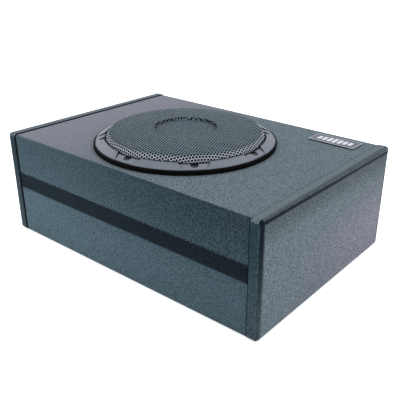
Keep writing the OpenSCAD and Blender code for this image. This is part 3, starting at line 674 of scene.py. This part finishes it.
FINISHES = {
    BOARD: [
        "left_end_panel", "right_end_panel", "top_baffle", "bottom_panel",
        "upper_front_board", "lower_front_board", "rear_panel",
    ],
    BLACK_BOARD: ["port_upper_shelf", "port_lower_shelf", "port_braces"],
    TRIM: ["trim_ring"],
    FOAM: ["driver_gasket", "amp_gasket"],
    BASKET: ["driver_basket"],
    PULP: ["cone", "dust_cap"],
    FILM: ["voice_coil_former"],
    COPPER: ["voice_coil_winding", "tinsel_leads", "toroid_winding"],
    STEEL: ["top_plate", "t_yoke", "potentiometers", "switch_bodies"],
    FERRITE: ["magnet"],
    TINNED: ["driver_terminals"],
    SCREW: ["mounting_screws", "amp_panel_screws"],
    PLATE: ["nameplate"],
    BRIGHT: ["nameplate_bars"],
    PANEL: ["amp_panel"],
    SINK: ["heat_sink"],
    CIRCUIT: ["circuit_board"],
    EPOXY: ["power_transistors"],
    SLEEVE: ["capacitors"],
    CORE: ["toroid_core"],
    NICKEL: ["rca_shells", "terminal_screws", "gain_shaft", "crossover_shaft",
             "bass_boost_shaft"],
    INSULATOR: ["rca_insulators"],
    NYLON: ["high_level_socket"],
    BLOCK: ["terminal_block", "fuse_holder"],
    FUSE: ["blade_fuses"],
    LENS: ["power_led"],
    KNOB: ["gain_knob", "crossover_knob", "bass_boost_knob", "phase_slider", "auto_on_slider"],
    BRASS: ["threaded_inserts"],
    WIRE: ["speaker_leads"],
}


def dress_cad_nodes():
    """Each CAD node that stays gets its finish on its own material slots."""
    for material, names in FINISHES.items():
        for name in names:
            mesh = nodes[name].data
            if not mesh.materials:
                mesh.materials.append(material)
            for i in range(len(mesh.materials)):
                mesh.materials[i] = material


# ---------------------------------------------------------------- cloth round the cabinet


def spread_marks(marks, step):
    """Values from the first mark to the last, about step apart, with every mark among them."""
    parts = [
        np.linspace(a, b, max(2, math.ceil((b - a) / step) + 1))[:-1]
        for a, b in zip(marks[:-1], marks[1:])
    ]
    return np.concatenate(parts + [[marks[-1]]])


def cloth_section(step):
    """The cloth's closed outline seen along X: straight sides joined by quarter circles.

    Returns the points (y, z), the outward normals and the length run so far, starting at the
    lower front corner and going up the front, back over the top, down the rear and home.
    """
    corner = 3 * MM
    y0, y1 = cloth_low.y, cloth_high.y
    z0, z1 = cloth_low.z, cloth_high.z
    sides = [
        ((y0, z0 + corner), (y0, z1 - corner), (-1, 0), [slot_low_z, slot_high_z]),
        ((y0 + corner, z1), (y1 - corner, z1), (0, 1), []),
        ((y1, z1 - corner), (y1, z0 + corner), (1, 0), [amp_high.z, amp_low.z]),
        ((y1 - corner, z0), (y0 + corner, z0), (0, -1), insert_cuts[::-1]),
    ]
    points, normals = [], []
    for (start, end, normal, marks) in sides:
        start, end, normal = np.array(start), np.array(end), np.array(normal, float)
        length = np.linalg.norm(end - start)
        along = (end - start) / length
        axis = int(abs(along[1]) > 0.5)
        cuts = sorted([0.0, length] + [abs(m - start[axis]) for m in marks])
        s = spread_marks(cuts, step)
        points.append(start + s[:, None] * along)
        normals.append(np.broadcast_to(normal, (len(s), 2)))
        swing = np.radians(np.arange(18, 90, 18))[:, None]
        bent = normal * np.cos(swing) + along * np.sin(swing)
        points.append(end - corner * normal + corner * bent)
        normals.append(bent)
    points, normals = np.concatenate(points), np.concatenate(normals)
    steps = np.linalg.norm(np.diff(points, axis=0, append=points[:1]), axis=1)
    return points, normals, np.concatenate([[0], np.cumsum(steps)])


def make_cloth():
    """The cabinet's cloth: the closed outline carried along X, its two ends rolled into the
    grooves, drawn in a little over the slot, with openings for the driver, the amplifier and the
    threaded inserts."""
    section, normals, run = cloth_section(6 * MM)
    roll = 0.9 * MM
    swing = np.radians([15, 30, 45, 60, 75, 90])
    marks = [cloth_low.x + roll, cloth_high.x - roll, amp_low.x, amp_high.x]
    marks += [side * insert_x + half for side in (-1, 1) for half in (-insert_cut, insert_cut)]
    flat = spread_marks(sorted(marks), 6 * MM)
    x = np.concatenate([cloth_low.x + roll - roll * np.sin(swing[::-1]), flat,
                        cloth_high.x - roll + roll * np.sin(swing)])
    fall = roll * (1 - np.cos(swing))
    drop = np.concatenate([fall[::-1], np.zeros(len(flat)), fall])

    closed = np.concatenate([section, section[:1]])
    closed_normals = np.concatenate([normals, normals[:1]])
    y, z = closed[:, :1], closed[:, 1:]
    in_slot = np.clip((z - slot_low_z) / (slot_high_z - slot_low_z), 0, 1)
    on_front = (closed_normals[:, :1] < -0.99).astype(float)
    away = np.clip((cloth_high.x - np.abs(x)) / (20 * MM), 0, 1)
    sag = 0.5 * MM * np.sin(np.pi * in_slot) ** 2 * on_front * away
    inset = drop[None, :] + sag
    points = np.stack([
        np.broadcast_to(x, inset.shape),
        y - closed_normals[:, :1] * inset,
        z - closed_normals[:, 1:] * inset,
    ], -1)

    rows, columns = len(closed), len(x)
    on_top = closed_normals[:, 1:] > 0.99
    dx, dy = points[..., 0] - driver_x, points[..., 1] - driver_y
    reach = np.hypot(dx, dy)
    hole_r = ring_r - 4 * MM
    pull = np.where(on_top & (reach < hole_r) & (reach > hole_r - 9 * MM), hole_r / reach, 1.0)
    points[..., 0] = driver_x + dx * pull
    points[..., 1] = driver_y + dy * pull

    faces = grid_faces(rows, columns)
    middle = points.reshape(-1, 3)[faces].mean(1)
    over_driver = (middle[:, 2] > cloth_top - MM) & (
        np.hypot(middle[:, 0] - driver_x, middle[:, 1] - driver_y) < hole_r - MM
    )
    over_amp = (
        (middle[:, 1] > cloth_high.y - 0.5 * MM)
        & (middle[:, 0] > amp_low.x) & (middle[:, 0] < amp_high.x)
        & (middle[:, 2] > amp_low.z) & (middle[:, 2] < amp_high.z)
    )
    over_insert = (
        (middle[:, 2] < cloth_low.z + 0.5 * MM)
        & (np.abs(np.abs(middle[:, 0]) - insert_x) < insert_cut)
        & (np.abs(np.abs(middle[:, 1]) - insert_y) < insert_cut)
    )
    faces = faces[~(over_driver | over_amp | over_insert)]
    used, renumbered = np.unique(faces, return_inverse=True)
    faces = renumbered.reshape(-1, 4)
    obj = piece("cloth_cover", points.reshape(-1, 3)[used], [faces[:, ::-1]], CLOTH)
    u = np.broadcast_to(x, (rows, columns)).reshape(-1)[used]
    v = np.broadcast_to(run[:rows, None], (rows, columns)).reshape(-1)[used]
    give_uv(obj, np.stack([u, v], -1))
    solid_shell(obj, 0.8 * MM)
    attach(obj, "cabinet")
    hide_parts("cloth_wrap")
    opening = math.pi * hole_r ** 2 + (amp_high.x - amp_low.x) * (amp_high.z - amp_low.z)
    opening += 4 * (2 * insert_cut) ** 2


# ---------------------------------------------------------------- vinyl on the end panels


def make_vinyl(side):
    """A rounded cap drawn over the end board: five faces of a box, each a grid, and every grid
    point pulled in to the box shrunk by the edge radius and pushed back out along that way."""
    name = "right_end_vinyl" if side > 0 else "left_end_vinyl"
    low, high = (np.array(corner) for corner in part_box(name))
    radius = 5.5 * MM
    core_low, core_high = low + radius, high - radius
    inner = 0 if side > 0 else 1
    if side > 0:
        core_low[0] = low[0]
    else:
        core_high[0] = high[0]
    edge = radius * (1 - np.cos(np.linspace(0, np.pi / 2, 7)))

    def ticks(a, b, axis, count):
        near = a + edge if axis or inner else np.array([a])
        far = b - edge[::-1] if axis or not inner else np.array([b])
        return np.concatenate([near, np.linspace(near[-1], far[0], count)[1:-1], far])

    counts = {0: 4, 1: 40, 2: 22}
    sheets, faces, start = [], [], 0
    for axis in range(3):
        others = [k for k in range(3) if k != axis]
        s, t = (ticks(low[k], high[k], k, counts[k]) for k in others)
        for end in (0, 1):
            if axis == 0 and end == inner:
                continue
            grid = np.zeros((len(s), len(t), 3))
            grid[..., axis] = (low, high)[end][axis]
            grid[..., others[0]] = s[:, None]
            grid[..., others[1]] = t[None, :]
            sheets.append(grid.reshape(-1, 3))
            made = grid_faces(len(s), len(t), start=start)
            outward = (end == 1) != (axis == 1)
            faces.append(made if outward else made[:, ::-1])
            start += len(s) * len(t)
    points = np.concatenate(sheets)
    core = np.clip(points, core_low, core_high)
    away = points - core
    reach = np.linalg.norm(away, axis=1, keepdims=True)
    points = core + away / np.maximum(reach, 1e-9) * radius
    used, renumbered = np.unique(np.round(points / 1e-6).astype(int), axis=0, return_inverse=True)
    renumbered = renumbered.reshape(-1)
    faces = [renumbered[part] for part in faces]
    obj = piece(name.replace("end_vinyl", "vinyl_cover"), used * 1e-6, faces, VINYL)
    solid_shell(obj, 0.7 * MM)
    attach(obj, "cabinet")
    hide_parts(name)


# ---------------------------------------------------------------- perforated grille

def grille_height(r):
    """Height of the pressed sheet at radius r: a flat round recess, a rounded step up out of it,
    and a shallow dome that falls with the square of the way out."""
    share = np.clip((r - recess_r - 2 * MM) / (dome_r - recess_r - 2 * MM), 0, 1)
    dome = grille_top + (dome_edge_z - grille_top) * share ** 2
    step = np.clip((r - recess_r + 2.0 * MM) / (2.8 * MM), 0, 1)
    step = step * step * (3 - 2 * step)
    return recess_z + (dome - recess_z) * step


wall_fall = dome_edge_z - crown_z
wall_run = math.hypot(wall_foot_r - dome_r, wall_fall)


def press(flat):
    """Carries points of the flat perforated sheet onto the pressed shape. Out to the dome's edge
    the radius stays; beyond it the sheet turns down the wall, so the radius grows more slowly,
    and past the wall's foot it drops straight into the ring."""
    reach = np.hypot(flat[:, 0], flat[:, 1])
    turn = np.arctan2(flat[:, 1], flat[:, 0])
    beyond = np.clip((reach - dome_r) / wall_run, 0, 1)
    bow = np.sin(beyond * np.pi / 2)
    out = (wall_foot_r - dome_r) * (0.35 * bow + 0.65 * beyond)
    fall = wall_fall * (0.45 * (1 - np.cos(beyond * np.pi / 2)) + 0.55 * beyond)
    drop = np.clip(reach - dome_r - wall_run, 0, None)
    radius = np.where(reach < dome_r, reach, dome_r + out)
    height = np.where(
        reach < dome_r, grille_height(np.minimum(reach, dome_r)), dome_edge_z - fall - drop
    )
    x = driver_x + radius * np.cos(turn)
    y = driver_y + radius * np.sin(turn)
    return np.stack([x, y, height], -1)


def make_grille():
    """Round holes on a hexagonal lattice. Each hole is a ring of twelve points inside a hexagon
    whose six corners it shares with its neighbours, joined by one five-sided face a side; the
    flat sheet is then pressed to shape."""
    pitch = 4.45 * MM
    hole_r = 1.76 * MM
    lattice_turn = math.radians(51)
    reach = dome_r + wall_run + 5 * MM
    count = int(reach / pitch) + 3
    i, j = np.meshgrid(np.arange(-count, count + 1), np.arange(-2 * count, 2 * count + 1))
    centres = np.stack([(i + 0.5 * j).ravel(), (j * math.sqrt(3) / 2).ravel()], -1) * pitch
    cos, sin = math.cos(lattice_turn), math.sin(lattice_turn)
    centres = centres @ np.array([[cos, sin], [-sin, cos]])
    centres = centres[np.hypot(*centres.T) < reach]

    angle = np.arange(12) * np.pi / 6 + lattice_turn
    ray = np.stack([np.cos(angle), np.sin(angle)], -1)
    corners = (centres[:, None] + ray[1::2] * pitch / math.sqrt(3)).reshape(-1, 2)
    holes = (centres[:, None] + ray * hole_r).reshape(-1, 2)
    cell = np.arange(len(centres))[:, None]
    side = np.arange(6)[None, :]
    hole = len(corners) + 12 * cell
    faces = np.stack([
        6 * cell + side, 6 * cell + (side + 1) % 6, hole + (2 * side + 3) % 12,
        hole + (2 * side + 2) % 12, hole + 2 * side + 1,
    ], -1).reshape(-1, 5)
    points = np.round(np.concatenate([corners, holes]) / 1e-6).astype(int)
    used, renumbered = np.unique(points, axis=0, return_inverse=True)
    faces = renumbered.reshape(-1)[faces]
    obj = piece("grille_mesh", press(used * 1e-6), [faces], GRILLE)
    obj.data.materials.append(SHADE_BLACK)
    solid_shell(obj, 0.9 * MM)
    # The holes' walls and the sheet's underside take the near-black painted shade.
    obj.modifiers["thickness"].material_offset = 1
    obj.modifiers["thickness"].material_offset_rim = 1
    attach(obj, "cabinet")
    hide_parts("grille")


def make_grille_hem():
    """The plain hem inside the ring: a short upright band turned round the driver's axis, near
    black as painted shade in the gap between ring and grille.
    """
    top, foot = crown_z - 2.6 * MM, crown_z - 9.5 * MM
    inner = grille_r - 0.5 * MM
    profile = [(grille_r, top), (grille_r, foot), (inner, foot), (inner, top)]
    angles = np.linspace(0, 2 * np.pi, 240, endpoint=False)
    points = turned(profile, angles, (driver_x, driver_y))
    faces = grid_faces(len(angles), len(profile), True, True)
    obj = piece("grille_hem", points, [faces], SHADE_BLACK)
    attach(obj, "cabinet")
    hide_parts("grille")


# ---------------------------------------------------------------- parts that flex with the cone

surround_low, surround_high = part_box("surround")
spider_low, spider_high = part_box("spider")


def flexing_sectors(name, cad_node, profile, count, material):
    """A ring of equal sectors, each the profile turned round the driver's axis through its own
    share of the circle and given its thickness, so that neighbours meet along their shared edges."""
    half = math.pi / count
    for i in range(count):
        middle = 2 * half * i
        angles = np.linspace(middle - half, middle + half, 7)
        points = turned(profile, angles, (driver_x, driver_y))
        faces = grid_faces(len(angles), len(profile))
        obj = piece(f"{name}_{i + 1:02d}", points, [faces], material)
        solid_shell(obj, 0.8 * MM)
        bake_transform(obj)
        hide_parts(cad_node)


def make_surround():
    """Half-roll surround: flat lands inside and outside a half circle."""
    land = surround_low.z + 0.9 * MM
    roll_r, roll_mid = 7.4 * MM, 105 * MM
    swing = np.radians(np.linspace(0, 180, 15))
    roll = [(roll_mid + roll_r * math.cos(a), land + roll_r * math.sin(a)) for a in swing]
    profile = [((surround_high.x - surround_low.x) / 2, land)] + roll + [(94 * MM, land)]
    flexing_sectors("surround_roll", "surround", profile, 24,
                    RUBBER)


def make_spider():
    """Corrugated spider: a sine wave between two flat lands."""
    land = spider_low.z + 2.4 * MM
    r = np.linspace(57 * MM, 31 * MM, 53)
    wave = land + 1.7 * MM * np.sin(2 * np.pi * (r - 30 * MM) / (7 * MM))
    profile = [(68.5 * MM, land), (58 * MM, land)] + list(zip(r, wave)) + [(25.9 * MM, land)]
    flexing_sectors("spider_cloth", "spider", profile, 16,
                    SPIDER)


def smooth_path(points, count):
    """Points evenly spread in parameter along a Catmull-Rom spline through the given ones."""
    p = np.asarray(points, float)
    p = np.concatenate([[2 * p[0] - p[1]], p, [2 * p[-1] - p[-2]]])
    t = np.linspace(0, len(points) - 1, count)
    i = np.minimum(t.astype(int), len(points) - 2)
    f = (t - i)[:, None]
    a, b, c, d = (p[i + k] for k in range(4))
    return 0.5 * (2 * b + (c - a) * f + (2 * a - 5 * b + 4 * c - d) * f ** 2
                  + (3 * b - a - 3 * c + d) * f ** 3)


def tube(path, radius, sides=10):
    """A closed tube: a circle of points square to the path at each of its points, and a
    pole at each end."""
    ahead = np.gradient(path, axis=0)
    ahead /= np.linalg.norm(ahead, axis=1, keepdims=True)
    beside = np.cross(ahead, [1.0, 0.0, 0.0])
    beside /= np.linalg.norm(beside, axis=1, keepdims=True)
    above = np.cross(ahead, beside)
    swing = np.arange(sides)[None, :, None] * 2 * np.pi / sides
    round_path = beside[:, None] * np.cos(swing) + above[:, None] * np.sin(swing)
    rings = path[:, None] + radius * round_path
    wall = grid_faces(len(path), sides, close_columns=True)[:, ::-1]
    k = np.arange(sides)
    k2, last = (k + 1) % sides, (len(path) - 1) * sides
    start_pole, end_pole = len(path) * sides, len(path) * sides + 1
    caps = np.concatenate([
        np.stack([k2, k, np.full(sides, start_pole)], -1),
        np.stack([last + k, last + k2, np.full(sides, end_pole)], -1),
    ])
    return np.concatenate([rings.reshape(-1, 3), path[:1], path[-1:]]), [wall, caps]


def make_tinsel_leads():
    """Two braided leads, each a tube along a spline from a terminal up to the cone."""
    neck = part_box("top_plate")[1].z
    base = np.array([driver_x, driver_y, neck])
    for side, name in ((-1, "left"), (1, "right")):
        route = np.array([
            (8 * side, 67, 14), (14 * side, 72, 17), (27 * side, 77, 24), (33 * side, 77, 32),
            (29 * side, 64, 39), (22 * side, 50, 39), (17 * side, 38, 40),
        ]) * MM + base
        points, faces = tube(smooth_path(route, 60), 0.8 * MM)
        obj = piece(f"tinsel_lead_{name}", points, faces, COPPER)
        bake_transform(obj)
        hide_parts("tinsel_leads")


# ---------------------------------------------------------------- marks on the control panel


def make_control_marks():
    """Printed dial ticks round each knob: thin quads every 28 degrees over the knob's turn."""
    z = 104 * MM
    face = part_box("gain_knob")[0].y - 1.4 * MM
    quads = []
    for name in ("gain_knob", "crossover_knob", "bass_boost_knob"):
        low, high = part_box(name)
        x = (low.x + high.x) / 2
        angle = np.radians(np.linspace(-140, 140, 11))[:, None]
        out = np.concatenate([np.sin(angle), 0 * angle, np.cos(angle)], 1)
        side = np.concatenate([np.cos(angle), 0 * angle, -np.sin(angle)], 1)
        centre = np.array([x, face, z])
        near, far, width = 9.4 * MM, 10.9 * MM, 0.28 * MM
        quads.append(np.stack([
            centre + out * near - side * width, centre + out * near + side * width,
            centre + out * far + side * width, centre + out * far - side * width,
        ], 1))
    points = np.concatenate(quads).reshape(-1, 3)
    faces = np.arange(len(points)).reshape(-1, 4)
    ink = grained_plastic("printed_ink", (0.55, 0.56, 0.57), 0.6)
    obj = piece("control_marks", points, [faces], ink, smooth=False)
    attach(obj, "cabinet")


def make_knob_pointers():
    """Paint in each knob's pointer groove: a straight tube from near the axis to the rim."""
    white = grained_plastic("pointer_paint", (0.78, 0.78, 0.76), 0.5)
    for control in ("gain", "crossover", "bass_boost"):
        low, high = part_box(control + "_knob")
        x, z = (low.x + high.x) / 2, (low.z + high.z) / 2
        out = np.linspace(2.6 * MM, (high.x - low.x) / 2 - 0.6 * MM, 6)
        path = np.stack([np.full(6, x), np.full(6, high.y - 0.3 * MM), z + out], -1)
        points, faces = tube(path, 0.5 * MM)
        obj = piece(control + "_pointer", points, faces, white)
        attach(obj, control + "_control")


# ---------------------------------------------------------------- floor, light and camera


def make_floor():
    """A pale floor that gives back a little light of its own, so that it stays near white."""
    material = new_material("pale_floor", (0.9, 0.9, 0.9), 0.9, specular=0.0)
    shader = material.node_tree.nodes["Principled BSDF"]
    shader.inputs["Emission Color"].default_value = (1.0, 1.0, 1.0, 1.0)
    shader.inputs["Emission Strength"].default_value = 0.55
    size = 40.0
    corners = np.array([[-size, -size], [size, -size], [size, size], [-size, size]])
    points = np.concatenate([corners, np.full((4, 1), floor_z - 0.2 * MM)], 1)
    floor = piece("floor", points, [np.array([[0, 1, 2, 3]])], material, smooth=False)


def soft_light(name, place, aim, size, power):
    """A square soft light turned to face a point."""
    lamp = bpy.data.lights.new(name, "AREA")
    lamp.shape = "SQUARE"
    lamp.size = size
    lamp.energy = power
    obj = bpy.data.objects.new(name, lamp)
    bpy.context.scene.collection.objects.link(obj)
    obj.location = place
    way = Vector(aim) - Vector(place)
    obj.rotation_mode = "QUATERNION"
    obj.rotation_quaternion = way.to_track_quat("-Z", "Y")


def make_studio():
    """White surroundings, two soft lights and a plain view transform."""
    world = bpy.data.worlds.new("studio")
    bpy.context.scene.world = world
    world.use_nodes = True
    world.node_tree.nodes["Background"].inputs[0].default_value = (0.985, 0.995, 1.0, 1.0)
    world.node_tree.nodes["Background"].inputs[1].default_value = 1.0
    soft_light("overhead", (-0.5, 0.9, 1.7), (0, 0, 0.1), 1.6, 16)
    soft_light("right_fill", (1.9, -0.2, 0.7), (0, 0, 0.1), 1.2, 4)
    scene = bpy.context.scene
    scene.view_settings.view_transform = "Standard"
    scene.view_settings.look = "None"


def make_camera():
    """The camera, from its own place, angles, lens and shift."""
    azimuth, elevation, roll = math.radians(38.25), math.radians(24.66), math.radians(0.88)
    place = Vector((0.5580, -0.6395, 0.4506))
    ahead = Vector((
        -math.sin(azimuth) * math.cos(elevation),
        math.cos(azimuth) * math.cos(elevation),
        -math.sin(elevation),
    ))
    data = bpy.data.cameras.new("camera")
    data.sensor_width = 36.0
    data.lens = 52.84
    data.shift_x, data.shift_y = -0.0551, 0.0019
    data.clip_start = 0.01
    camera = bpy.data.objects.new("camera", data)
    bpy.context.scene.collection.objects.link(camera)
    camera.location = place
    camera.rotation_mode = "QUATERNION"
    camera.rotation_quaternion = Quaternion(ahead, -roll) @ ahead.to_track_quat("-Z", "Y")
    bpy.context.scene.camera = camera


make_camera()
dress_cad_nodes()
make_cloth()
make_vinyl(1)
make_vinyl(-1)
make_grille()
make_grille_hem()
make_surround()
make_spider()
make_tinsel_leads()
make_control_marks()
make_knob_pointers()
make_floor()
make_studio()
